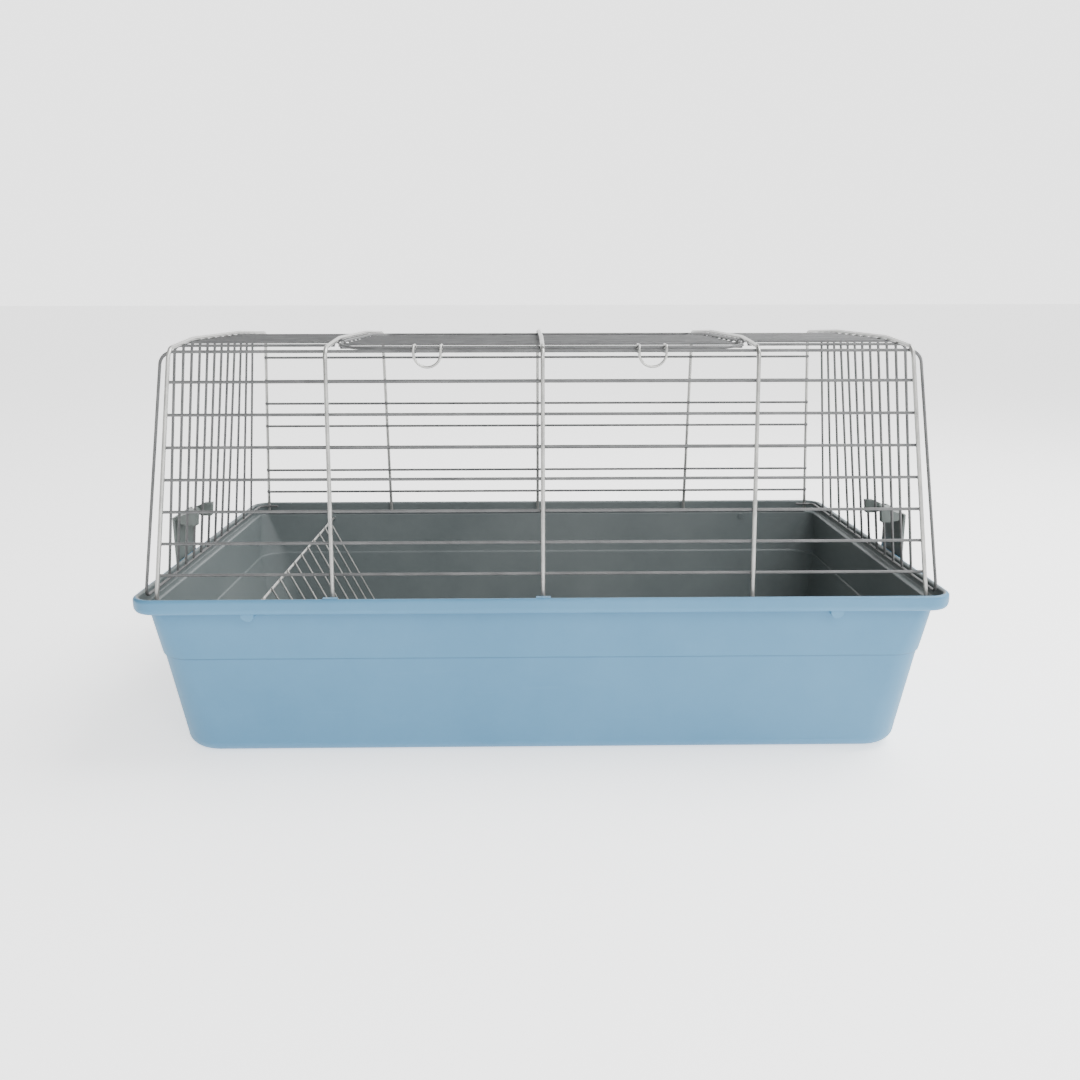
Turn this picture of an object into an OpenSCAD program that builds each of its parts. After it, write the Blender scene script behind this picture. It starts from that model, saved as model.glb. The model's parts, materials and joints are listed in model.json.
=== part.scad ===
// Wire rabbit cage: a wire top with a hinged roof door standing on a deep plastic tray.
// Units are millimetres and +Z is up. The origin is on the ground under the middle of the tray.
// +X runs along the cage and the front faces -Y.

/* [Tray] */
// Overall length of the tray over its lip
tray_length = 800; // [790:1:820]
// Overall width of the tray over its lip
tray_width = 480; // [476:1:500]
// Height of the top of the lip
lip_top = 176; // [174:0.5:180]
// Height of the ledge that the wire top stands on
ledge_top = 163; // [162:0.5:164]
// Thickness of the lip band
lip_thickness = 6; // [4:0.5:6]
// Outer corner radius of the lip in plan
lip_corner = 24; // [20:1:28]
// Wall thickness of the tub
wall = 3; // [2.5:0.1:3.5]
// Height of the step line around the tub
step_height = 109; // [100:1:115]
// How far the tub steps inwards below the step line
step_depth = 1.2; // [0.5:0.1:2]
// Rounding between the tub's floor and walls
floor_round = 15; // [10:1:18]

/* [Wire top] */
// Wire diameter of the five hoops
hoop_wire = 4; // [3.5:0.1:4.2]
// Wire diameter of the rails and frame wires
rail_wire = 3; // [2.8:0.1:3.1]
// Wire diameter of the end bars and roof wires
bar_wire = 2.8; // [2.2:0.1:2.8]
// Height of the hoops' centreline at the crown of the roof
crown_height = 417.4; // [416:0.1:420]
// Distance from the middle hoop to the inner hoops
inner_hoop_x = 205.2; // [200:0.2:210]
// Number of rails on the front and on the back
rail_count = 7; // [5:1:7]
// Distance between neighbouring rails
rail_pitch = 30.8; // [28:0.2:30.8]
// Height of the top rail
top_rail = 379.7; // [375:0.1:384]
// Number of bars on each end
bar_count = 12; // [8:1:12]
// Distance between neighbouring end bars
bar_pitch = 26.36; // [24:0.02:27]

/* [Roof door] */
// Half length of the roof door's frame
lid_half_length = 199; // [195:0.5:199.5]
// Radius of the roof door's front corners
lid_corner = 42; // [30:1:50]
// Width of each wire clip on the door's front edge
clip_width = 25.7; // [22:0.1:30]

/* [Latches] */
// Width of the plate of each latch lever
latch_width = 62; // [50:1:66]
// Height of the latches' pivot pins
latch_z = 219; // [215:1:222]

/* [Hay rack] */
// Distance of the rack's pivot wire from the middle of the cage
rack_x = 286; // [280:1:292]
// Height of the rack's pivot wire
rack_z = 157; // [156.5:0.1:157.5]
// Number of slanted bars in the rack
rack_bar_count = 11; // [7:1:11]
// Distance between neighbouring rack bars
rack_pitch = 36; // [30:1:36]

/* [Hidden] */
$fn = 32;

// Colours
tray_blue = [0.58, 0.69, 0.77];
wire_light = [0.8, 0.8, 0.78];
wire_grey = [0.62, 0.63, 0.63];
latch_green = [0.52, 0.58, 0.56];

// How deep two welded wires sink into each other
weld = 0.15;
// Gap between loose pieces that rest on each other
rest_gap = 0.3;
// Radial clearance of a pivot in its bore
pivot_gap = 0.08;
// Small overlap that fuses two parts of one moulding
fuse = 0.5;
// How much thicker a wire is around its bends, and how far its straights reach into the bends
bend_swell = 0.04;
bend_overlap = 0.2;

// Tray
foot_height = 3;
foot_radius = 6;
foot_inset = [70, 60];
ledge_thickness = 2.5;
ledge_corner = 12;
ledge_half = [386, 218];
// The lip's underside rounds inwards: where its narrower lower part ends, and by how much it is inset
lip_low = 165.5;
lip_inset = 3.5;
// Inward slope of the tub's ends above and below the step, and of its long sides
end_draft_high = 0.04;
end_draft_low = 0.14;
side_draft = 0.075;
// Corner radii of the tub in plan, at its top, at the step and at its floor
top_corner = 14;
step_corner = 35;
floor_corner = 41;
floor_bottom = foot_height;
tub_top = ledge_top - ledge_thickness;

// Planes of the wire top: where each face is at the reference height, and its slope
ref_height = 400;
front_ref = -199.7;
front_slope = 0.0972;
back_ref = 197.9;
back_slope = 0.1044;
end_ref = 352.6;
end_slope = 0.1024;
back_end_ref = 360.4;
back_end_slope = 0.0694;
frame_ref = 362.5;
frame_slope = 0.1104;
front_bend = 12;
back_bend = 9;
crown_bend = 250;
frame_bend = 13;
bar_bend = 6;
foot_bend = 8;

// The roof rises from its front and back edges to a flat crown
roof_front = 411;
roof_back = 412.5;
crown_from = -120;
crown_to = 60;

base_z = ledge_top + rest_gap + rail_wire / 2;
hoop_foot = ledge_top + rest_gap;
// The wires along the roof's front and back edges lie in the hoops' bends
front_edge_y = -191.5;
front_edge_z = 407.7;
edge_z = 406;
// Height of the frame wire where it runs along the two ends
end_base_z = 174;
rail_layer = (hoop_wire + rail_wire) / 2 - weld;
roof_layer = (hoop_wire + bar_wire) / 2 - weld;
first_bar_y = -152;
// The last three bars on each end spread towards the back at their feet
spread_from = 9;
spread_step = 10;

// Roof door
lid_front_y = -185;
lid_front_z = 409.8;
lid_crown_z = crown_height - 2.8;
lid_wire_layer = (rail_wire + bar_wire) / 2 - weld;
ring_wire = 2.4;
ring_radius = rail_wire / 2 + 0.4 + ring_wire / 2;
eye_radius = rail_wire / 2 + 0.7 + ring_wire / 2;
lid_rear_bend = 8;
lid_wire_count = bar_count + 1;
hinge_ring_x = [-150, -60, 60, 150];
corner_ring_wire = 1.6;
corner_ring_radius = 3;
corner_ring_y = -142;
// Where the middle hoop is parted for the door, as angles from upright around its front bend
part_low = 48;
part_high = 56;
// How much higher the door's middle wire lies than the hoops
centre_rise = 1.05;

// Door clips
clip_wire = 2.4;
clip_x = [-109, 104.3];
clip_face_y = -200.6;
clip_bottom = 393.2;
clip_top_bend = 4;

// Latches: each hangs on the bars with these numbers, counted from the front
latch_bars = [3, 5];
pivot_out = 13;
grip_low = -6;
grip_high = 9;
grip_in = 3.4;
grip_out = 5;
grip_width = 8;
grip_gap = 0.1;
hub_radius = 4.5;
ear_gap = 0.5;
plate_in = 403.2;
plate_thickness = 2.5;
plate_low = 158.5;
plate_high = 222;
nose_in = 400.4;
nose_top = 161.5;
arm_height = 6;

// Hay rack
rack_wire = 3;
rack_bar_wire = 2;
rack_foot = [74, -147];
rack_first_bar = -178;
rack_end_y = 229.5;
lug_radius = 6.5;
lug_z = 159.5;
lug_out = 236;
lug_top = 162;
pocket_depth = 231;

// Plane positions at a given height
function front_y(z) = front_ref - (ref_height - z) * front_slope;
function back_y(z) = back_ref + (ref_height - z) * back_slope;
function end_x(z) = end_ref + (ref_height - z) * end_slope;
function back_end_x(z) = back_end_ref + (ref_height - z) * back_end_slope;
function frame_x(z) = frame_ref + (ref_height - z) * frame_slope;

// Value at y on the straight line through the pairs a and b
function on_line(a, b, y) = a[1] + (y - a[0]) * (b[1] - a[1]) / (b[0] - a[0]);
roof_front_y = front_y(roof_front);
roof_back_y = back_y(roof_back);
// Height of the hoops' centreline over the roof
function roof_z(y) = y < crown_from ? on_line([roof_front_y, roof_front], [crown_from, crown_height], y)
  : y > crown_to ? on_line([crown_to, crown_height], [roof_back_y, roof_back], y) : crown_height;

// Tub half sizes at a given height
function tub_half_length(z) = ledge_half[0] + wall - (tub_top - max(z, step_height)) * end_draft_high
  - (z < step_height ? step_depth + (step_height - z) * end_draft_low : 0);
function tub_half_width(z) = ledge_half[1] + wall - (tub_top - z) * side_draft
  - (z < step_height ? step_depth : 0);

// Corner radius of the tub in plan at a given height
function tub_corner(z) = z < step_height
  ? on_line([floor_bottom + floor_round, floor_corner], [step_height, step_corner], z)
  : on_line([step_height, step_corner], [tub_top, top_corner], z);

// Unit vector from a to b
function unit(a, b) = (b - a) / norm(b - a);
// Any unit vector square to u
function square_to(u) = let (c = cross(u, abs(u[2]) > 0.9 ? [1, 0, 0] : [0, 0, 1])) c / norm(c);
// How much of a corner's legs its bend takes up
function bend_reach(u, v, r) = r * tan(acos(u * v) / 2);

// A straight round wire from a to b
module straight_wire(a, b, d) {
  u = unit(a, b);
  p = square_to(u);
  q = cross(u, p);
  multmatrix([
    [p[0], q[0], u[0], a[0]],
    [p[1], q[1], u[1], a[1]],
    [p[2], q[2], u[2], a[2]],
    [0, 0, 0, 1]
  ])
    cylinder(d = d, h = norm(b - a));
}

// The bend of a round wire around corner c, coming in along u and leaving along v
module wire_bend(c, u, v, r, d) {
  turn = acos(u * v);
  n = (v - (u * v) * u) / norm(v - (u * v) * u);
  o = c - u * bend_reach(u, v, r) + n * r;
  w = cross(-n, u);
  multmatrix([
    [-n[0], u[0], w[0], o[0]],
    [-n[1], u[1], w[1], o[1]],
    [-n[2], u[2], w[2], o[2]],
    [0, 0, 0, 1]
  ])
    rotate_extrude(angle = turn)
      translate([r, 0])
        circle(d = d + bend_swell);
}

// A round wire through the points, bent at each inner point with the matching radius
module bent_wire(points, radii, d) {
  last = len(points) - 1;
  for (i = [0:last - 1]) {
    u = unit(points[i], points[i + 1]);
    before = i > 0 ? bend_reach(unit(points[i - 1], points[i]), u, radii[i - 1]) : 0;
    after = i < last - 1 ? bend_reach(u, unit(points[i + 1], points[i + 2]), radii[i]) : 0;
    from = points[i] + u * (before - (i > 0 ? bend_overlap : 0));
    to = points[i + 1] - u * (after - (i < last - 1 ? bend_overlap : 0));
    straight_wire(from, to, d);
    if (i < last - 1)
      wire_bend(points[i + 1], u, unit(points[i + 1], points[i + 2]), radii[i], d);
  }
}

// A closed ring around an axis along X
module ring_about_x(radius, d) {
  rotate([0, 90, 0])
    rotate_extrude()
      translate([radius, 0])
        circle(d = d);
}

// A flat rectangle with round corners, given by its half sizes
module round_rect(half, r) {
  translate([-half[0] + r, -half[1]])
    square([2 * (half[0] - r), 2 * half[1]]);
  translate([-half[0], -half[1] + r])
    square([2 * half[0], 2 * (half[1] - r)]);
  for (x = [-1, 1], y = [-1, 1])
    translate([x * (half[0] - r), y * (half[1] - r)])
      circle(r = r, $fn = 48);
}

// Thin corner discs of the tub at height z, shrunk by the inset
module tub_discs(z, inset) {
  r = tub_corner(z);
  for (x = [-1, 1], y = [-1, 1])
    translate([x * (tub_half_length(z) - r), y * (tub_half_width(z) - r), z])
      cylinder(r = r - inset, h = 0.01, $fn = 48);
}

// The four rounded corners of the tub's floor
module tub_floor_corners(inset) {
  z = floor_bottom + floor_round;
  r = tub_corner(z);
  for (x = [-1, 1], y = [-1, 1])
    translate([x * (tub_half_length(z) - r), y * (tub_half_width(z) - r), z])
      rotate_extrude($fn = 48)
        translate([r - floor_round, 0])
          circle(r = floor_round - inset);
}

// The solid shape of the tub, shrunk by the inset
module tub_shape(inset) {
  hull() {
    tub_discs(tub_top + ledge_thickness / 2, inset);
    tub_discs(step_height, inset);
  }
  hull() {
    tub_discs(step_height - 0.01, inset);
    tub_floor_corners(inset);
  }
}

// A half-round lug under the lip at the given end and side
module lug_solid(x, side) {
  translate([x, side > 0 ? lug_out : -ledge_half[1] - 1, 0])
    rotate([90, 0, 0])
      linear_extrude(lug_out - ledge_half[1] - 1)
        intersection() {
          translate([0, lug_z])
            circle(r = lug_radius);
          translate([-lug_radius, lug_top - 2 * lug_radius])
            square(2 * lug_radius);
        }
}

module base_tray() {
  color(tray_blue)
  difference() {
    union() {
      tub_shape(0);
      translate([0, 0, tub_top])
        linear_extrude(ledge_thickness)
          round_rect([tray_length / 2 - lip_inset, tray_width / 2 - lip_inset], lip_corner - lip_inset);
      translate([0, 0, ledge_top - fuse])
        linear_extrude(lip_low - ledge_top + 2 * fuse)
          difference() {
            round_rect([tray_length / 2 - lip_inset, tray_width / 2 - lip_inset], lip_corner - lip_inset);
            round_rect([tray_length / 2 - lip_thickness, tray_width / 2 - lip_thickness],
              lip_corner - lip_thickness);
          }
      translate([0, 0, lip_low])
        linear_extrude(lip_top - lip_low)
          difference() {
            round_rect([tray_length / 2, tray_width / 2], lip_corner);
            round_rect([tray_length / 2 - lip_thickness, tray_width / 2 - lip_thickness],
              lip_corner - lip_thickness);
          }
      for (x = [-rack_x, rack_x], side = [-1, 1])
        lug_solid(x, side);
    }
    tub_shape(wall);
    translate([0, 0, tub_top - fuse])
      linear_extrude(ledge_thickness + 2 * fuse)
        round_rect(ledge_half, ledge_corner);
    for (x = [-rack_x, rack_x])
      translate([x, -pocket_depth, rack_z])
        rotate([-90, 0, 0])
          cylinder(r = rack_wire / 2 + pivot_gap, h = 2 * pocket_depth);
  }
}

module tray_feet() {
  color(tray_blue)
  for (x = [-1, 1], y = [-1, 1])
    translate([x * (tray_length / 2 - foot_inset[0]), y * (tray_width / 2 - foot_inset[1]), 0])
      cylinder(r = foot_radius, h = foot_height);
}

// Small caps on the front lip before two of the hoops
module retaining_tabs() {
  tab = [14, 5, 9];
  start = 3;
  rise = 0.6;
  color(tray_blue)
  for (hoop = [-inner_hoop_x, 0])
    translate([hoop - tab[0] / 2, start - tray_width / 2, lip_top + rise - tab[2]])
      difference() {
        cube(tab);
        translate([-1, -1, -1])
          cube([tab[0] + 2, lip_thickness - start + 1, tab[2] - rise + 1]);
      }
}

// A whole hoop through its front foot, front corner, back corner and back foot along the cage
module hoop(x) {
  front = [x[1], roof_front_y, roof_front];
  back = [x[2], roof_back_y, roof_back];
  span = roof_back_y - roof_front_y;
  bent_wire([
    [x[0], front_y(hoop_foot), hoop_foot],
    front,
    [x[1] + (x[2] - x[1]) * (crown_from - roof_front_y) / span, crown_from, crown_height],
    [x[1] + (x[2] - x[1]) * (crown_to - roof_front_y) / span, crown_to, crown_height],
    back,
    [x[3], back_y(hoop_foot), hoop_foot]
  ], [front_bend, crown_bend, crown_bend, back_bend], hoop_wire);
}

end_hoop_x = [end_x(hoop_foot), end_x(roof_front), back_end_x(roof_back), back_end_x(hoop_foot)];

module hoop_left_end() {
  color(wire_light)
  hoop(-end_hoop_x);
}

module hoop_left_inner() {
  color(wire_light)
  hoop(-inner_hoop_x * [1, 1, 1, 1]);
}

module hoop_right_inner() {
  color(wire_light)
  hoop(inner_hoop_x * [1, 1, 1, 1]);
}

module hoop_right_end() {
  color(wire_light)
  hoop(end_hoop_x);
}

// Direction of a wire that leans back by the given angle from upright
function lean(a) = [0, sin(a), cos(a)];
front_lean = atan(front_slope);
roof_lean = atan2(crown_from - roof_front_y, crown_height - roof_front);
// How far the front bend of a hoop reaches from its corner
front_reach = front_bend * tan((roof_lean - front_lean) / 2);

// The middle hoop's two legs; its roof part belongs to the door
module hoop_centre() {
  start = [0, roof_front_y, roof_front] - lean(front_lean) * front_reach;
  step = front_bend * tan((part_low - front_lean) / 2);
  turn = start + lean(front_lean) * step;
  color(wire_light) {
    bent_wire([
      [0, front_y(hoop_foot), hoop_foot],
      turn,
      turn + lean(part_low) * (step + 0.1)
    ], [front_bend], hoop_wire);
    straight_wire([0, back_y(hoop_foot), hoop_foot], [0, back_y(edge_z + 0.5), edge_z + 0.5],
      hoop_wire);
  }
}

// One long wire: along the left end, up and over the front edge and back along the right end
module frame_wire() {
  z = end_base_z;
  yf = front_y(z) + rail_layer;
  yb = back_y(z) - rail_layer;
  tail = 24;
  color(wire_grey)
  bent_wire([
    [-frame_x(z) + tail, yb, z],
    [-frame_x(z), yb, z],
    [-frame_x(z), yf, z],
    [-frame_x(front_edge_z), front_edge_y, front_edge_z],
    [frame_x(front_edge_z), front_edge_y, front_edge_z],
    [frame_x(z), yf, z],
    [frame_x(z), yb, z],
    [frame_x(z) - tail, yb, z]
  ], [foot_bend, foot_bend, frame_bend, frame_bend, foot_bend, foot_bend], rail_wire);
}

module front_rails() {
  color(wire_grey)
  for (k = [0:rail_count - 1])
    let (z = top_rail - k * rail_pitch)
      straight_wire([-end_x(z), front_y(z) + rail_layer, z], [end_x(z), front_y(z) + rail_layer, z],
        rail_wire);
}

module back_rails() {
  color(wire_grey)
  for (k = [0:rail_count - 1])
    let (z = top_rail - k * rail_pitch)
      straight_wire([-back_end_x(z), back_y(z) - rail_layer, z],
        [back_end_x(z), back_y(z) - rail_layer, z], rail_wire);
}

module front_base_wire() {
  y = front_y(base_z) + rail_layer;
  color(wire_grey)
  straight_wire([-end_x(base_z), y, base_z], [end_x(base_z), y, base_z], rail_wire);
}

module back_base_wire() {
  y = back_y(base_z) - rail_layer;
  color(wire_grey)
  straight_wire([-back_end_x(base_z), y, base_z], [back_end_x(base_z), y, base_z], rail_wire);
}

module back_edge_wire() {
  y = back_y(edge_z) - rail_layer;
  color(wire_grey)
  straight_wire([-back_end_x(edge_z), y, edge_z], [back_end_x(edge_z), y, edge_z], rail_wire);
}

// Where the end bars pass into the roof wires
roof_wire_end = frame_x(crown_height) - 2 * bar_bend;

// The upright bars of one end, each with its bend into the roof
module end_bars(side) {
  foot_z = end_base_z + rail_wire / 2 - weld;
  for (k = [0:bar_count - 1])
    let (y = first_bar_y + k * bar_pitch, z = roof_z(y) - roof_layer)
      bent_wire([
        [side * frame_x(foot_z), y + max(0, k - spread_from + 1) * spread_step, foot_z],
        [side * frame_x(z), y, z],
        [side * roof_wire_end, y, z]
      ], [bar_bend], bar_wire);
}

// The lengthwise roof wires between an inner hoop and one end
module roof_wires(side) {
  for (k = [0:bar_count - 1])
    let (y = first_bar_y + k * bar_pitch, z = roof_z(y) - roof_layer)
      straight_wire([side * (inner_hoop_x - 1), y, z], [side * roof_wire_end, y, z], bar_wire);
}

module end_bars_left() {
  color(wire_grey)
  end_bars(-1);
}

module end_bars_right() {
  color(wire_grey)
  end_bars(1);
}

module roof_wires_left() {
  color(wire_grey)
  roof_wires(-1);
}

module roof_wires_right() {
  color(wire_grey)
  roof_wires(1);
}

// The hinge axis of the roof door is the back edge wire
hinge_y = back_y(edge_z) - rail_layer;
// The door's rear wire is welded to the hinge rings above and in front of the axis
rear_offset = (ring_radius + (ring_wire + rail_wire) / 2 - weld) / sqrt(2);
lid_rear_y = hinge_y - rear_offset;
lid_rear_z = edge_z + rear_offset;

// Height of the door's side wires
function lid_z(y) = y < crown_from ? on_line([lid_front_y, lid_front_z], [crown_from, lid_crown_z], y)
  : y > crown_to ? on_line([crown_to, lid_crown_z], [lid_rear_y, lid_rear_z], y) : lid_crown_z;

module lid_frame() {
  half = lid_half_length;
  color(wire_grey)
  bent_wire([
    [0, lid_rear_y, lid_rear_z],
    [-half, lid_rear_y, lid_rear_z],
    [-half, crown_to, lid_crown_z],
    [-half, crown_from, lid_crown_z],
    [-half, lid_front_y, lid_front_z],
    [half, lid_front_y, lid_front_z],
    [half, crown_from, lid_crown_z],
    [half, crown_to, lid_crown_z],
    [half, lid_rear_y, lid_rear_z],
    [0, lid_rear_y, lid_rear_z]
  ], [lid_rear_bend, crown_bend, crown_bend, lid_corner, lid_corner, crown_bend, crown_bend,
    lid_rear_bend], rail_wire);
}

module lid_wires() {
  color(wire_grey)
  for (k = [0:lid_wire_count - 1])
    let (y = first_bar_y + k * bar_pitch, z = lid_z(y) - lid_wire_layer)
      straight_wire([-lid_half_length, y, z], [lid_half_length, y, z], bar_wire);
}

// The roof part of the middle hoop, welded on the door
module lid_centre_wire() {
  corner = [0, roof_front_y, roof_front + centre_rise];
  step = front_bend * tan((roof_lean - part_high) / 2);
  turn = corner + lean(roof_lean) * (front_reach - step);
  color(wire_light)
  bent_wire([
    turn - lean(part_high) * step,
    turn,
    [0, crown_from, crown_height + centre_rise],
    [0, crown_to, crown_height + centre_rise],
    [0, lid_rear_y + 1, lid_rear_z + rail_layer]
  ], [front_bend, crown_bend, crown_bend], hoop_wire);
}

module lid_hinge_rings() {
  color(wire_grey)
  for (x = hinge_ring_x)
    translate([x, hinge_y, edge_z])
      ring_about_x(ring_radius, ring_wire);
}

// Rings on the door's side wires near its front corners
module lid_corner_rings() {
  rise = corner_ring_radius - (corner_ring_wire + rail_wire) / 2;
  color(wire_grey)
  for (side = [-1, 1])
    translate([side * lid_half_length, corner_ring_y, lid_z(corner_ring_y) + rise])
      rotate([90, 0, 0])
        rotate_extrude()
          translate([corner_ring_radius, 0])
            circle(d = corner_ring_wire);
}

// A wire clip that pivots on the door's front wire and hangs over the front edge
module door_clip(x) {
  e = eye_radius;
  h = clip_width / 2;
  top = lid_front_z + e;
  half = [for (s = [-1, 1]) [
    [x + s * h, lid_front_y - e, lid_front_z + 0.6],
    [x + s * h, lid_front_y - e, lid_front_z - e],
    [x + s * h, lid_front_y + e, lid_front_z - e],
    [x + s * h, lid_front_y + e, top],
    [x + s * h, clip_face_y, top],
    [x + s * h, clip_face_y, clip_bottom]
  ]];
  bend = [e, e, e, clip_top_bend, h - 0.05];
  bent_wire([for (i = [0:5]) half[0][i], for (i = [0:5]) half[1][5 - i]],
    [for (i = [0:4]) bend[i], for (i = [0:4]) bend[4 - i]], clip_wire);
}

module door_clip_left() {
  color(wire_light)
  door_clip(clip_x[0]);
}

module door_clip_right() {
  color(wire_light)
  door_clip(clip_x[1]);
}

pivot_x = frame_x(latch_z) + pivot_out;
// Where the bars that carry a latch are, and the middle between them
latch_bar_y = [for (k = latch_bars) first_bar_y + k * bar_pitch];
latch_y = (latch_bar_y[0] + latch_bar_y[1]) / 2;

// A grip around one end bar, with an ear that holds the pivot pin
module latch_grip(y) {
  low = latch_z + grip_low;
  high = latch_z + grip_high;
  difference() {
    translate([0, y + grip_width / 2, 0])
      rotate([90, 0, 0])
        linear_extrude(grip_width)
          polygon([
            [frame_x(low) - grip_in, low],
            [frame_x(low) + grip_out, low],
            [pivot_x + hub_radius * 0.5, latch_z - hub_radius * 0.9],
            [pivot_x + hub_radius, latch_z - hub_radius * 0.3],
            [pivot_x + hub_radius, latch_z + hub_radius * 0.3],
            [pivot_x + hub_radius * 0.5, latch_z + hub_radius * 0.9],
            [frame_x(high) + grip_out, high],
            [frame_x(high) - grip_in, high]
          ]);
    straight_wire([frame_x(low - 5), y, low - 5], [frame_x(high + 5), y, high + 5],
      bar_wire + 2 * grip_gap);
  }
}

// Two grips on the end bars and the pin between them; drawn for the right end
module latch_bracket() {
  for (y = latch_bar_y)
    latch_grip(y);
  translate([pivot_x, latch_bar_y[0] + 1, latch_z])
    rotate([-90, 0, 0])
      cylinder(d = rail_wire, h = latch_bar_y[1] - latch_bar_y[0] - 2);
}

// A lever that swings on the bracket's pin and reaches down over the lip; drawn for the right end
module latch_lever() {
  length = latch_bar_y[1] - latch_bar_y[0] - grip_width - 2 * ear_gap;
  difference() {
    union() {
      translate([0, latch_y + length / 2, 0])
        rotate([90, 0, 0])
          linear_extrude(length) {
            translate([pivot_x, latch_z])
              circle(r = hub_radius);
            translate([pivot_x, latch_z - arm_height / 2])
              square([plate_in - pivot_x + 1, arm_height]);
          }
      translate([0, latch_y + latch_width / 2, 0])
        rotate([90, 0, 0])
          linear_extrude(latch_width)
            polygon([
              [nose_in, plate_low],
              [plate_in + plate_thickness, plate_low],
              [plate_in + plate_thickness, plate_high],
              [plate_in, plate_high],
              [plate_in, nose_top + 1.5],
              [nose_in, nose_top]
            ]);
    }
    translate([pivot_x, latch_y - latch_width / 2 - 1, latch_z])
      rotate([-90, 0, 0])
        cylinder(r = rail_wire / 2 + pivot_gap, h = latch_width + 2);
  }
}

module latch_bracket_right() {
  color(latch_green)
  latch_bracket();
}

module latch_bracket_left() {
  color(latch_green)
  mirror([1, 0, 0])
    latch_bracket();
}

module latch_lever_right() {
  color(latch_green)
  latch_lever();
}

module latch_lever_left() {
  color(latch_green)
  mirror([1, 0, 0])
    latch_lever();
}

// The rack's pivot wire and its lower wire
module rack_frame() {
  foot = [-rack_x + rack_foot[0], rack_z + rack_foot[1]];
  ends = [rack_first_bar - 6, rack_first_bar + (rack_bar_count - 1) * rack_pitch + 6];
  color(wire_light) {
    straight_wire([-rack_x, -rack_end_y, rack_z], [-rack_x, rack_end_y, rack_z], rack_wire);
    straight_wire([foot[0], ends[0], foot[1]], [foot[0], ends[1], foot[1]], rack_wire);
  }
}

// Slanted bars welded across the rack's two long wires
module rack_bars() {
  slope = [rack_foot[0], 0, rack_foot[1]] / norm(rack_foot);
  lift = [-slope[2], 0, slope[0]] * ((rack_wire + rack_bar_wire) / 2 - weld);
  over = 2.5;
  color(wire_light)
  for (k = [0:rack_bar_count - 1])
    let (y = rack_first_bar + k * rack_pitch, top = [-rack_x, y, rack_z])
      straight_wire(top + lift - slope * over, top + lift + slope * (norm(rack_foot) + over),
        rack_bar_wire);
}

base_tray();
tray_feet();
retaining_tabs();
hoop_left_end();
hoop_left_inner();
hoop_centre();
hoop_right_inner();
hoop_right_end();
frame_wire();
front_rails();
back_rails();
front_base_wire();
back_base_wire();
back_edge_wire();
end_bars_left();
end_bars_right();
roof_wires_left();
roof_wires_right();
lid_frame();
lid_wires();
lid_centre_wire();
lid_hinge_rings();
lid_corner_rings();
door_clip_left();
door_clip_right();
latch_bracket_left();
latch_bracket_right();
latch_lever_left();
latch_lever_right();
rack_frame();
rack_bars();
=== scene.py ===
import json
import math

import bmesh
import bpy
import numpy as np
from mathutils import Matrix, Vector


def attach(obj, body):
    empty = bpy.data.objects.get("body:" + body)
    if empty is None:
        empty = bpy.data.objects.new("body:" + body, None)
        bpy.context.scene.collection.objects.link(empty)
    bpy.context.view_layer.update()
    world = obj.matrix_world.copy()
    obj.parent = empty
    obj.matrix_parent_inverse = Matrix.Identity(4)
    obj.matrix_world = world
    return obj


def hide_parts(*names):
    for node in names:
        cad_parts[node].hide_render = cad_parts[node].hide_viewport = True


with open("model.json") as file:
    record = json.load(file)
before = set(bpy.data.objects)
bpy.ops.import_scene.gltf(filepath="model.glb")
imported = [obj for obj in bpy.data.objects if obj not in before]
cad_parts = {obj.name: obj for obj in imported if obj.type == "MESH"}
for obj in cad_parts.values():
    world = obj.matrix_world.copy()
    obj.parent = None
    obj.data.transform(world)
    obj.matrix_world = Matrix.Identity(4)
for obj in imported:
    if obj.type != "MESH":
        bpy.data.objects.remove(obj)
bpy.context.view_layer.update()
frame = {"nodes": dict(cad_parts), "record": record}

# ---------------------------------------------------------------- materials


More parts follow.
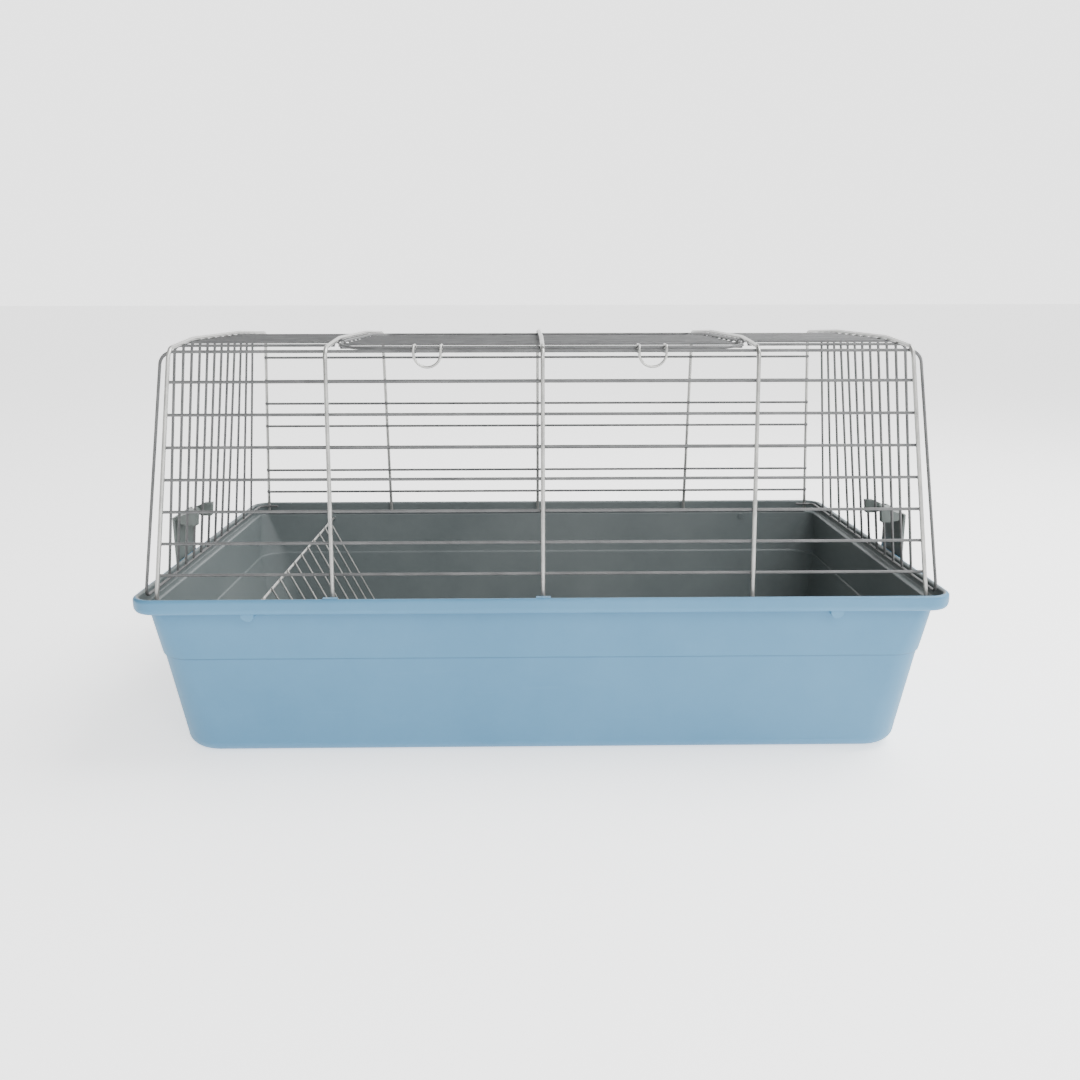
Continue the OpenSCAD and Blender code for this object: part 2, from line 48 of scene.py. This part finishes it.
class Nodes:
    """Small helper that builds one node-based material."""

    def __init__(self, name, roughness, specular, metallic=0.0):
        self.material = bpy.data.materials.new(name)
        self.material.use_nodes = True
        self.tree = self.material.node_tree
        self.shader = self.tree.nodes["Principled BSDF"]
        self.shader.inputs["Roughness"].default_value = roughness
        self.shader.inputs["Metallic"].default_value = metallic
        self.shader.inputs["Specular IOR Level"].default_value = specular
        self.coord = self.tree.nodes.new("ShaderNodeTexCoord")

    def link(self, a, b):
        self.tree.links.new(a, b)

    def noise(self, scale, detail, roughness, stretch=(1, 1, 1), rotation=(0, 0, 0)):
        """A noise value between 0 and 1, in object coordinates that may be stretched and turned."""
        mapping = self.tree.nodes.new("ShaderNodeMapping")
        mapping.inputs["Scale"].default_value = stretch
        mapping.inputs["Rotation"].default_value = rotation
        self.link(self.coord.outputs["Object"], mapping.inputs["Vector"])
        n = self.tree.nodes.new("ShaderNodeTexNoise")
        n.inputs["Scale"].default_value = scale
        n.inputs["Detail"].default_value = detail
        n.inputs["Roughness"].default_value = roughness
        self.link(mapping.outputs["Vector"], n.inputs["Vector"])
        return n.outputs["Fac"]

    def ramp(self, fac, stops):
        """A colour ramp over the given positions and colours."""
        r = self.tree.nodes.new("ShaderNodeValToRGB")
        elements = r.color_ramp.elements
        while len(elements) < len(stops):
            elements.new(0.5)
        for element, (position, colour) in zip(elements, stops):
            element.position = position
            element.color = (*colour, 1)
        self.link(fac, r.inputs["Fac"])
        return r.outputs["Color"]

    def spread(self, fac, start, end, low, high):
        """A number that runs from low to high as fac runs from start to end."""
        r = self.tree.nodes.new("ShaderNodeMapRange")
        for socket, value in (("From Min", start), ("From Max", end), ("To Min", low), ("To Max", high)):
            r.inputs[socket].default_value = value
        self.link(fac, r.inputs["Value"])
        return r.outputs["Result"]

    def mix(self, fac, a, b):
        """Colour a turned into colour b as fac rises; b is a constant colour."""
        n = self.tree.nodes.new("ShaderNodeMix")
        n.data_type = "RGBA"
        self.link(fac, n.inputs["Factor"])
        colours = {i.name: i for i in n.inputs if i.type == "RGBA"}
        self.link(a, colours["A"])
        colours["B"].default_value = (*b, 1)
        return [o for o in n.outputs if o.type == "RGBA"][0]

    def times(self, a, b):
        """Product of a socket and another socket or a number."""
        n = self.tree.nodes.new("ShaderNodeMath")
        n.operation = "MULTIPLY"
        self.link(a, n.inputs[0])
        if isinstance(b, float):
            n.inputs[1].default_value = b
        else:
            self.link(b, n.inputs[1])
        return n.outputs[0]

    def height_step(self, z, falling=False):
        """1 above height z and 0 below it, or the other way round, with a soft edge."""
        soft = 0.0004
        split = self.tree.nodes.new("ShaderNodeSeparateXYZ")
        self.link(self.coord.outputs["Object"], split.inputs["Vector"])
        low, high = (1.0, 0.0) if falling else (0.0, 1.0)
        return self.spread(split.outputs["Z"], z - soft, z + soft, low, high)

    def colour(self, socket):
        self.link(socket, self.shader.inputs["Base Color"])

    def rough(self, socket):
        self.link(socket, self.shader.inputs["Roughness"])

    def bump(self, height, strength, distance):
        """Adds a bump on top of the bumps that are already there."""
        n = self.tree.nodes.new("ShaderNodeBump")
        n.inputs["Strength"].default_value = strength
        n.inputs["Distance"].default_value = distance
        self.link(height, n.inputs["Height"])
        normal = self.shader.inputs["Normal"]
        if normal.links:
            self.link(normal.links[0].from_socket, n.inputs["Normal"])
        self.link(n.outputs["Normal"], normal)


def plastic(name, base, dark, light, roughness, scuffs=0.25, grain=900.0, painted_shade_bands=()):
    """Moulded plastic; each painted shade band is a lower height, an upper height and how dark the painted
    shade is in between.
    """
    n = Nodes(name, roughness, specular=0.27)
    cloud = n.noise(5.0, 5.0, 0.6)
    fine = n.noise(120.0, 6.0, 0.7)
    scratch = n.noise(60.0, 3.0, 0.6, stretch=(0.12, 1.0, 2.2), rotation=(0.2, 0.1, 0.35))
    dust = n.noise(17.0, 6.0, 0.65)
    col = n.ramp(cloud, [(0.3, dark), (0.5, base), (0.72, light)])
    col = n.mix(n.spread(fine, 0.35, 0.75, 0.0, 0.18), col, light)
    col = n.mix(n.spread(scratch, 0.66, 0.72, 0.0, scuffs), col, light)
    col = n.mix(n.spread(dust, 0.52, 0.8, 0.0, 0.16), col, dark)
    # painted shade: a darker tone laid over the given height bands, standing in for the shade in the step's
    # crease and under the lip
    painted_shade_tone = tuple(c * 0.4 for c in dark)
    for low, high, strength in painted_shade_bands:
        inside = n.times(n.height_step(low), n.height_step(high, falling=True))
        col = n.mix(n.times(inside, strength), col, painted_shade_tone)
    n.colour(col)
    n.rough(n.spread(cloud, 0.25, 0.8, roughness - 0.06, roughness + 0.12))
    n.bump(n.noise(grain, 2.0, 0.5), strength=0.18, distance=0.00006)
    n.bump(n.noise(9.0, 2.0, 0.4), strength=0.25, distance=0.0012)
    return n.material


def wire(name, base, dark, light, roughness, metallic):
    """Coated wire: blotches, drawing marks along its length and small dark specks."""
    n = Nodes(name, roughness, specular=0.35, metallic=metallic)
    blot = n.noise(38.0, 5.0, 0.65)
    drawn = n.noise(30.0, 3.0, 0.6, stretch=(1.0, 9.0, 9.0))
    speck = n.noise(420.0, 3.0, 0.6)
    col = n.ramp(blot, [(0.3, dark), (0.52, base), (0.75, light)])
    col = n.mix(n.spread(drawn, 0.45, 0.75, 0.0, 0.3), col, light)
    col = n.mix(n.spread(speck, 0.62, 0.74, 0.0, 0.45), col, dark)
    n.colour(col)
    n.rough(n.spread(blot, 0.3, 0.8, roughness - 0.08, roughness + 0.16))
    n.bump(n.noise(650.0, 3.0, 0.6), strength=0.3, distance=0.00015)
    return n.material


# each colour set is the base, the dark and the light tone
BLUE = (0.073, 0.199, 0.319), (0.063, 0.181, 0.296), (0.087, 0.221, 0.347)
# painted light: the lugs' blue is the tray blue made a little lighter, for the extra light that their
# upright faces catch
LUG_BLUE_PAINTED_LIGHT = (0.081, 0.213, 0.337), (0.072, 0.197, 0.317), (0.095, 0.234, 0.363)
GREY_GREEN = (0.118, 0.137, 0.139), (0.098, 0.116, 0.118), (0.143, 0.163, 0.164)
LATCH_GREY = (0.1, 0.118, 0.112), (0.075, 0.09, 0.085), (0.15, 0.168, 0.16)
LIGHT_COAT = (0.4, 0.4, 0.385), (0.3, 0.3, 0.29), (0.5, 0.5, 0.48)
GREY_COAT = (0.105, 0.107, 0.108), (0.074, 0.076, 0.077), (0.145, 0.147, 0.148)

# painted shade bands on the tray's outside, at the step in the walls and just under the lip where shade
# falls: lower and upper height in metres, and how dark
STEP_PAINTED_SHADE = (0.1073, 0.109, 0.42)
LIP_PAINTED_SHADE = (0.1572, 0.1607, 0.5)

M_TRAY = plastic("tray_plastic_blue", *BLUE, 0.44, painted_shade_bands=(STEP_PAINTED_SHADE, LIP_PAINTED_SHADE))
M_LUG_PAINTED_LIGHT = plastic("tray_plastic_lug_painted_light", *LUG_BLUE_PAINTED_LIGHT, 0.44)
M_INSIDE = plastic("tray_plastic_inside", *GREY_GREEN, 0.36)
M_HOOP = wire("wire_coated_light", *LIGHT_COAT, 0.32, 0.75)
M_RAIL = wire("wire_coated_grey", *GREY_COAT, 0.5, 0.2)
M_LATCH = plastic("latch_plastic_grey", *LATCH_GREY, 0.38, scuffs=0.3, grain=700.0)

SLOTS = {"tray_plastic": M_TRAY, "light_wire": M_HOOP, "grey_wire": M_RAIL, "latch_plastic": M_LATCH}
STRAIGHT = ("front_rails", "back_rails", "front_base_wire", "back_base_wire", "back_edge_wire",
            "lid_wires", "rack_bars", "rack_frame")


def bevel(ob, name, width, segments, angle):
    """Rounds the edges of an object that are sharper than the angle, in metres and degrees."""
    b = ob.modifiers.new(name, "BEVEL")
    b.width = width
    b.segments = segments
    b.limit_method = "ANGLE"
    b.angle_limit = math.radians(angle)


for part in frame["record"]["subparts"]:
    node = frame["nodes"][part["node"]]
    node.data.materials.clear()
    node.data.materials.append(SLOTS[part["material_slot"]])
    if part["material_slot"] in ("tray_plastic", "latch_plastic") and part["node"] != "base_tray":
        bevel(node, "soft_edges", 0.0007, 3, 35)
    if part["node"] in STRAIGHT:
        bevel(node, "rounded_ends", 0.0004, 2, 50)

# ---------------------------------------------------------------- tray mesh, in millimetres

MM = 0.001
LIP_HALF = (400.0, 240.0)      # outside of the lip, half its length and half its width
LIP_CORNER = 24.0
TUB_HALF = (389.0, 221.0)      # outside of the tub just under the lip
TUB_TOP = 160.5
TUB_CORNER = 14.0
STEP = 109.0                   # height of the step in the walls
STEP_CORNER = 35.0
STEP_IN = 1.2
LOW_CORNER = 41.0
FLOOR = 3.0                    # underside of the tub, which stands on feet
ROUND = 15.0                   # rounding between the walls and the floor
WALL = 3.0
END_DRAFT = 0.04               # slope of the ends above the step
LOW_DRAFT = 0.14               # slope of the ends below the step
SIDE_DRAFT = 0.075             # slope of the front and the back
BEND = FLOOR + ROUND           # height where the wall starts to bend into the floor


def outer_half(z):
    """Half length and half width of the tub's outside at height z."""
    hx = TUB_HALF[0] - (TUB_TOP - max(z, STEP)) * END_DRAFT
    hy = TUB_HALF[1] - (TUB_TOP - z) * SIDE_DRAFT
    if z < STEP:
        hx -= STEP_IN + (STEP - z) * LOW_DRAFT
        hy -= STEP_IN
    return hx, hy


def corner_at(z):
    """Corner radius of the tub's outside in plan at height z."""
    if z < STEP:
        return LOW_CORNER - (LOW_CORNER - STEP_CORNER) * (z - BEND) / (STEP - BEND)
    return STEP_CORNER - (STEP_CORNER - TUB_CORNER) * (z - STEP) / (TUB_TOP - STEP)


def quarter(steps, first=1):
    """Angles of a quarter turn, from the given step up to the last one."""
    return [math.radians(90 * k / steps) for k in range(first, steps + 1)]


def wall_ring(z, inset):
    """Ring at height z that lies the given distance inside the tub's outside."""
    hx, hy = outer_half(z)
    return hx - inset, hy - inset, corner_at(z) - inset, z


def floor_ring(inset, z):
    """Ring of the floor and its rounding, measured in from the start of the bend."""
    hx, hy = outer_half(BEND)
    return hx - inset, hy - inset, corner_at(BEND) - inset, z


def lip_ring(inset, z):
    """Ring that lies the given distance inside the outside of the lip."""
    return LIP_HALF[0] - inset, LIP_HALF[1] - inset, LIP_CORNER - inset, z


def outside_rings():
    """Rings from the middle of the underside, up the outside, to the top of the lip."""
    bx, by = outer_half(BEND)
    under_x, under_y = outer_half(STEP - 1.4)
    over_x, over_y = outer_half(STEP)
    rings = [(bx - 60, by - 60, 6, FLOOR), floor_ring(ROUND + 9, FLOOR)]
    for a in reversed(quarter(8, 0)):
        rings.append(floor_ring(ROUND - ROUND * math.cos(a), BEND - ROUND * math.sin(a)))
    rings += [wall_ring(float(z), 0.0) for z in np.linspace(BEND + 8, STEP - 3, 9)]
    # the step, with a small hollow under it
    rings += [
        wall_ring(STEP - 1.4, 0.0),
        (under_x + 0.12, under_y + 0.12, STEP_CORNER + 0.1, STEP - 0.9),
        ((under_x + over_x) / 2, (under_y + over_y) / 2, STEP_CORNER, STEP - 0.55),
        (over_x - 0.15, over_y - 0.15, STEP_CORNER, STEP - 0.2),
        (over_x, over_y, STEP_CORNER, STEP + 0.4),
    ]
    rings += [wall_ring(float(z), 0.0) for z in np.linspace(STEP + 6, TUB_TOP - 7, 8)]
    # a small fillet from the wall out under the ledge, then the lip's lower rounding
    rings.append(wall_ring(TUB_TOP - 2.6, 0.0))
    for a in quarter(5):
        rings.append(wall_ring(TUB_TOP - 2.6 + 2.5 * math.sin(a), -2.4 * (1 - math.cos(a))))
    rings.append(lip_ring(6.0, TUB_TOP + 0.05))
    for a in quarter(8, 0):
        rings.append(lip_ring(4.6 - 4.5 * math.sin(a), TUB_TOP + 6.6 - 6.4 * math.cos(a)))
    # the lip's face and the outer half of its round top
    rings.append(lip_ring(0.05, 172.0))
    for a in quarter(8):
        rings.append(lip_ring(3.4 - 3.35 * math.cos(a), 172.6 + 3.35 * math.sin(a)))
    return rings


def inside_rings():
    """Rings from the top of the lip, down the inside, to the middle of the floor."""
    bx, by = outer_half(BEND)
    over_x, over_y = outer_half(STEP)
    under_x, under_y = outer_half(STEP - 2.5)
    rings = [lip_ring(3.4 + 2.5 * math.sin(a), 173.45 + 2.5 * math.cos(a)) for a in quarter(6)]
    # down to the ledge, across it and over its edge
    rings.append(lip_ring(5.95, 168.0))
    for a in quarter(4, 0):
        rings.append(lip_ring(6.1 + 1.4 * (1 - math.cos(a)), 164.4 - 1.4 * math.sin(a)))
    rings.append((389.0, 226.0, 14.4, 163.0))
    for a in quarter(5, 0):
        out = 2.2 * (1 - math.sin(a)) - WALL
        rings.append((TUB_HALF[0] + out, TUB_HALF[1] + out, TUB_CORNER + out, 160.8 + 2.2 * math.cos(a)))
    rings += [wall_ring(float(z), WALL) for z in np.linspace(TUB_TOP - 7, STEP + 6, 8)]
    # the step, softer than outside
    inner_corner = STEP_CORNER - WALL
    rings += [
        (over_x - WALL, over_y - WALL, inner_corner, STEP + 1.0),
        (over_x - WALL - 0.2, over_y - WALL - 0.2, inner_corner, STEP + 0.2),
        (under_x - WALL + 0.25, under_y - WALL + 0.25, inner_corner, STEP - 0.4),
        (under_x - WALL, under_y - WALL, inner_corner, STEP - 1.4),
    ]
    rings += [wall_ring(float(z), WALL) for z in np.linspace(STEP - 5, BEND + 8, 9)]
    inner_round = ROUND - WALL
    for a in quarter(8, 0):
        rings.append(floor_ring(ROUND - inner_round * math.cos(a), BEND - inner_round * math.sin(a)))
    rings += [floor_ring(ROUND + 9, FLOOR + WALL), (bx - 60, by - 60, 1, FLOOR + WALL)]
    return rings


def rounded_path(hx, hy, r, per_corner=14, along_x=44, along_y=26):
    """Points anticlockwise round a rounded rectangle, always the same number of them."""
    r = max(r, 0.2)
    pts = []
    cx, cy = hx - r, hy - r
    corners = ((cx, -cy, -90), (cx, cy, 0), (-cx, cy, 90), (-cx, -cy, 180))
    for i, (x, y, start_angle) in enumerate(corners):
        for k in range(per_corner + 1):
            a = math.radians(start_angle + 90.0 * k / per_corner)
            pts.append((x + r * math.cos(a), y + r * math.sin(a)))
        next_x, next_y, next_angle = corners[(i + 1) % 4]
        b = math.radians(next_angle)
        start = pts[-1]
        end = (next_x + r * math.cos(b), next_y + r * math.sin(b))
        count = along_y if i % 2 == 0 else along_x
        for k in range(1, count):
            f = k / count
            pts.append((start[0] + (end[0] - start[0]) * f, start[1] + (end[1] - start[1]) * f))
    return pts


def mesh_object(name, verts, faces, material, body):
    """A new object from millimetre points, riding on a body and shown in a material slot."""
    me = bpy.data.meshes.new(name)
    me.from_pydata([tuple(c * MM for c in v) for v in verts], [], faces)
    me.materials.append(material)
    me.update()
    ob = bpy.data.objects.new(name, me)
    bpy.context.scene.collection.objects.link(ob)
    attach(ob, body)
    return ob


def add_inside(ob, flags):
    """Gives the flagged faces the material of the tray's inside, and turns all faces outwards."""
    ob.data.materials.append(M_INSIDE)
    for face, flag in zip(ob.data.polygons, flags):
        face.material_index = 1 if flag else 0
    bm = bmesh.new()
    bm.from_mesh(ob.data)
    bmesh.ops.recalc_face_normals(bm, faces=bm.faces)
    bm.to_mesh(ob.data)
    bm.free()


def smooth(ob):
    for face in ob.data.polygons:
        face.use_smooth = True


def build_tray():
    """The tray as one closed skin, lofted over the rings of its outside and its inside."""
    outside = outside_rings()
    rings = outside + inside_rings()
    verts, faces, inner = [], [], []
    for hx, hy, r, z in rings:
        path = rounded_path(hx, hy, r)
        verts += [(x, y, z) for x, y in path]
    n = len(path)
    for i in range(len(rings) - 1):
        a, b = i * n, (i + 1) * n
        for k in range(n):
            k2 = (k + 1) % n
            faces.append((a + k, a + k2, b + k2, b + k))
            inner.append(i >= len(outside) - 1)
    last = (len(rings) - 1) * n
    faces.append(tuple(reversed(range(n))))
    faces.append(tuple(last + k for k in range(n)))
    inner += [False, True]
    ob = mesh_object("tray_shell", verts, faces, M_TRAY, "tray")
    smooth(ob)
    add_inside(ob, inner)
    ob.modifiers.new("normals", "WEIGHTED_NORMAL").keep_sharp = True
    return ob


LUG_X = 286.0
LUG_RADIUS = 6.5
LUG_Z = 159.5
LUG_TOP = 162.0
LUG_Y = (219.5, 235.5)
POCKET_RADIUS = 4.0
POCKET_Z = 157.0
POCKET_Y = (216.6, 219.0)


def arc(radius, z, angles):
    """Points of an arc in the X-Z plane round a centre at height z; the angles are in degrees."""
    return [(radius * math.cos(math.radians(a)), z + radius * math.sin(math.radians(a))) for a in angles]


def build_lugs():
    """Half-round lugs under the lip for the rack's pivots, and the rings around their pockets inside."""
    verts, faces = [], []

    def prisms(outline, y_range):
        n = len(outline)
        for x in (-LUG_X, LUG_X):
            for side in (-1, 1):
                base = len(verts)
                for y in y_range:
                    verts.extend((x + px, side * y, pz) for px, pz in outline)
                for k in range(n):
                    k2 = (k + 1) % n
                    faces.append((base + k, base + k2, base + n + k2, base + n + k))
                faces.append(tuple(base + k for k in range(n)))
                faces.append(tuple(base + n + k for k in reversed(range(n))))

    prisms([(x, min(z, LUG_TOP)) for x, z in arc(LUG_RADIUS, LUG_Z, range(-202, 23, 8))], LUG_Y)
    outer = len(faces)
    prisms(arc(POCKET_RADIUS, POCKET_Z, range(0, 360, 15)), POCKET_Y)
    # the lugs' outside is shown in the tray blue with painted light, lighter than the wall behind it
    ob = mesh_object("tray_lugs", verts, faces, M_LUG_PAINTED_LIGHT, "tray")
    add_inside(ob, [i >= outer for i in range(len(faces))])
    bevel(ob, "soft_edges", 0.0006, 2, 40)


tray = build_tray()
build_lugs()

# ---------------------------------------------------------------- weld beads, in millimetres


def front_y(z):
    """Middle of the front hoops at height z."""
    return -199.7 - (400.0 - z) * 0.0972


def back_y(z):
    """Middle of the back hoops at height z."""
    return 197.9 + (400.0 - z) * 0.1044


def front_end_x(z):
    """Middle of the end hoop's front leg at height z."""
    return 352.6 + (400.0 - z) * 0.1024


def back_end_x(z):
    """Middle of the end hoop's back leg at height z."""
    return 360.4 + (400.0 - z) * 0.0694


CROWN_FROM = -120.0
CROWN_TO = 60.0


def arch(y, front, crown, back):
    """Height at y over a roof that rises from its front point, runs level and falls to its back point."""
    if y < CROWN_FROM:
        return front[1] + (y - front[0]) * (crown - front[1]) / (CROWN_FROM - front[0])
    if y > CROWN_TO:
        return crown + (y - CROWN_TO) * (back[1] - crown) / (back[0] - CROWN_TO)
    return crown


def roof_z(y):
    """Middle of the hoops over the roof."""
    return arch(y, (front_y(411.0), 411.0), 417.4, (back_y(412.5), 412.5))


def lid_z(y):
    """Middle of the roof door's frame."""
    return arch(y, (-185.0, 409.8), 414.6, (189.93, 410.0))


def build_beads(name, spots, body):
    """Small squashed balls where two wires cross; each spot is a centre and its half sizes."""
    levels, around = 5, 10
    poles = ((0, 0, 1), (0, 0, -1))
    verts, faces = [], []
    for centre, half in spots:
        directions = [poles[0]]
        for i in range(1, levels):
            t = math.pi * i / levels
            for k in range(around):
                p = 2 * math.pi * k / around
                directions.append((math.sin(t) * math.cos(p), math.sin(t) * math.sin(p), math.cos(t)))
        directions.append(poles[1])
        base = len(verts)
        verts += [tuple(c + h * d for c, h, d in zip(centre, half, way)) for way in directions]
        end = len(verts) - 1
        for k in range(around):
            k2 = (k + 1) % around
            faces.append((base, base + 1 + k, base + 1 + k2))
            for i in range(levels - 2):
                a = base + 1 + i * around
                faces.append((a + k, a + around + k, a + around + k2, a + k2))
            a = base + 1 + (levels - 2) * around
            faces.append((a + k, end, a + k2))
    smooth(mesh_object(name, verts, faces, M_RAIL, body))


HOOP_X = 205.2
LID_X = 199.0
BAR_Y = [-152.0 + 26.36 * k for k in range(13)]
RAIL_Z = [379.7 - 30.8 * k for k in range(7)]
BASE_Z = 166.0

top_spots = []
for z in RAIL_Z + [BASE_Z]:
    for x in (-front_end_x(z), -HOOP_X, 0.0, HOOP_X, front_end_x(z)):
        top_spots.append(((x, front_y(z) + 1.9, z), (2.3, 1.0, 2.1)))
    for x in (-back_end_x(z), -HOOP_X, 0.0, HOOP_X, back_end_x(z)):
        top_spots.append(((x, back_y(z) - 1.9, z), (2.3, 1.0, 2.1)))
for y in BAR_Y[:12]:
    for x in (-HOOP_X, HOOP_X):
        top_spots.append(((x, y, roof_z(y) - 1.9), (2.1, 1.9, 0.9)))
build_beads("weld_beads_top", top_spots, "wire_top")

door_spots = []
for y in BAR_Y:
    for x in (-LID_X, LID_X):
        door_spots.append(((x, y, lid_z(y) - 1.4), (1.9, 1.9, 0.9)))
build_beads("weld_beads_door", door_spots, "roof_door")

# ---------------------------------------------------------------- floor and lights, in metres


def build_floor(half=60.0):
    """A wide pale floor that glows slightly, so that it meets the bright room without a line."""
    me = bpy.data.meshes.new("floor")
    corners = [(-half, -half, 0), (half, -half, 0), (half, half, 0), (-half, half, 0)]
    me.from_pydata(corners, [], [(0, 1, 2, 3)])
    material = bpy.data.materials.new("floor_pale")
    material.use_nodes = True
    shader = material.node_tree.nodes["Principled BSDF"]
    shader.inputs["Base Color"].default_value = (0.93, 0.93, 0.93, 1)
    shader.inputs["Roughness"].default_value = 0.7
    shader.inputs["Emission Color"].default_value = (1, 1, 1, 1)
    shader.inputs["Emission Strength"].default_value = 1.3
    me.materials.append(material)
    ob = bpy.data.objects.new("floor", me)
    bpy.context.scene.collection.objects.link(ob)


def area_light(name, place, target, size, watts):
    """A soft rectangular light at a place, facing its target."""
    light = bpy.data.lights.new(name, "AREA")
    light.shape = "RECTANGLE"
    light.size, light.size_y = size
    light.energy = watts
    ob = bpy.data.objects.new(name, light)
    ob.location = place
    ob.rotation_mode = "QUATERNION"
    ob.rotation_quaternion = (Vector(target) - Vector(place)).to_track_quat("-Z", "Y")
    bpy.context.scene.collection.objects.link(ob)


def build_world():
    """A bright room: white behind the cage, and in front of it bright on the right and dark on the left."""
    world = bpy.data.worlds.new("studio")
    world.use_nodes = True
    tree = world.node_tree
    background = tree.nodes["Background"]
    background.inputs["Strength"].default_value = 2.8
    coord = tree.nodes.new("ShaderNodeTexCoord")
    split = tree.nodes.new("ShaderNodeSeparateXYZ")
    tree.links.new(coord.outputs["Generated"], split.inputs["Vector"])
    brightest = tree.nodes.new("ShaderNodeMath")
    brightest.operation = "MAXIMUM"
    fades = (("X", -0.3, 0.6, 0.12, 0.6), ("Y", 0.6, 0.84, 0.0, 1.0))
    for i, (axis, start, end, low, high) in enumerate(fades):
        fade = tree.nodes.new("ShaderNodeMapRange")
        fade.interpolation_type = "SMOOTHSTEP"
        for socket, value in (("From Min", start), ("From Max", end), ("To Min", low), ("To Max", high)):
            fade.inputs[socket].default_value = value
        tree.links.new(split.outputs[axis], fade.inputs["Value"])
        tree.links.new(fade.outputs["Result"], brightest.inputs[i])
    tree.links.new(brightest.outputs[0], background.inputs["Color"])
    bpy.context.scene.world = world


build_floor()
area_light("key", (0.6, -2.5, 1.6), (0, 0, 0.2), (1.2, 1.4), 50)
area_light("top", (1.5, 0.2, 2.3), (0.1, 0.1, 0.2), (1.8, 1.8), 112)
build_world()

# ---------------------------------------------------------------- camera


def build_camera(place, pitch, yaw, roll, lens):
    """A camera that looks along +Y, then turned down, to its right and about its axis by degrees."""
    pitch, yaw, roll = (math.radians(a) for a in (pitch, yaw, roll))
    forward = Vector((math.sin(yaw) * math.cos(pitch), math.cos(yaw) * math.cos(pitch), -math.sin(pitch)))
    level = Vector((math.cos(yaw), -math.sin(yaw), 0))
    upright = level.cross(forward)
    right = level * math.cos(roll) + upright * math.sin(roll)
    up = upright * math.cos(roll) - level * math.sin(roll)
    data = bpy.data.cameras.new("camera")
    data.sensor_width = 36.0
    data.lens = lens
    data.clip_start, data.clip_end = 0.05, 200
    camera = bpy.data.objects.new("camera", data)
    bpy.context.scene.collection.objects.link(camera)
    turn = Matrix((right, up, -forward)).transposed()
    camera.matrix_world = Matrix.Translation(place) @ turn.to_4x4()
    bpy.context.scene.camera = camera


build_camera((-0.0162, -1.1625, 0.4575), pitch=13.6, yaw=0.8, roll=-0.1, lens=33.47)

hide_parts("base_tray")
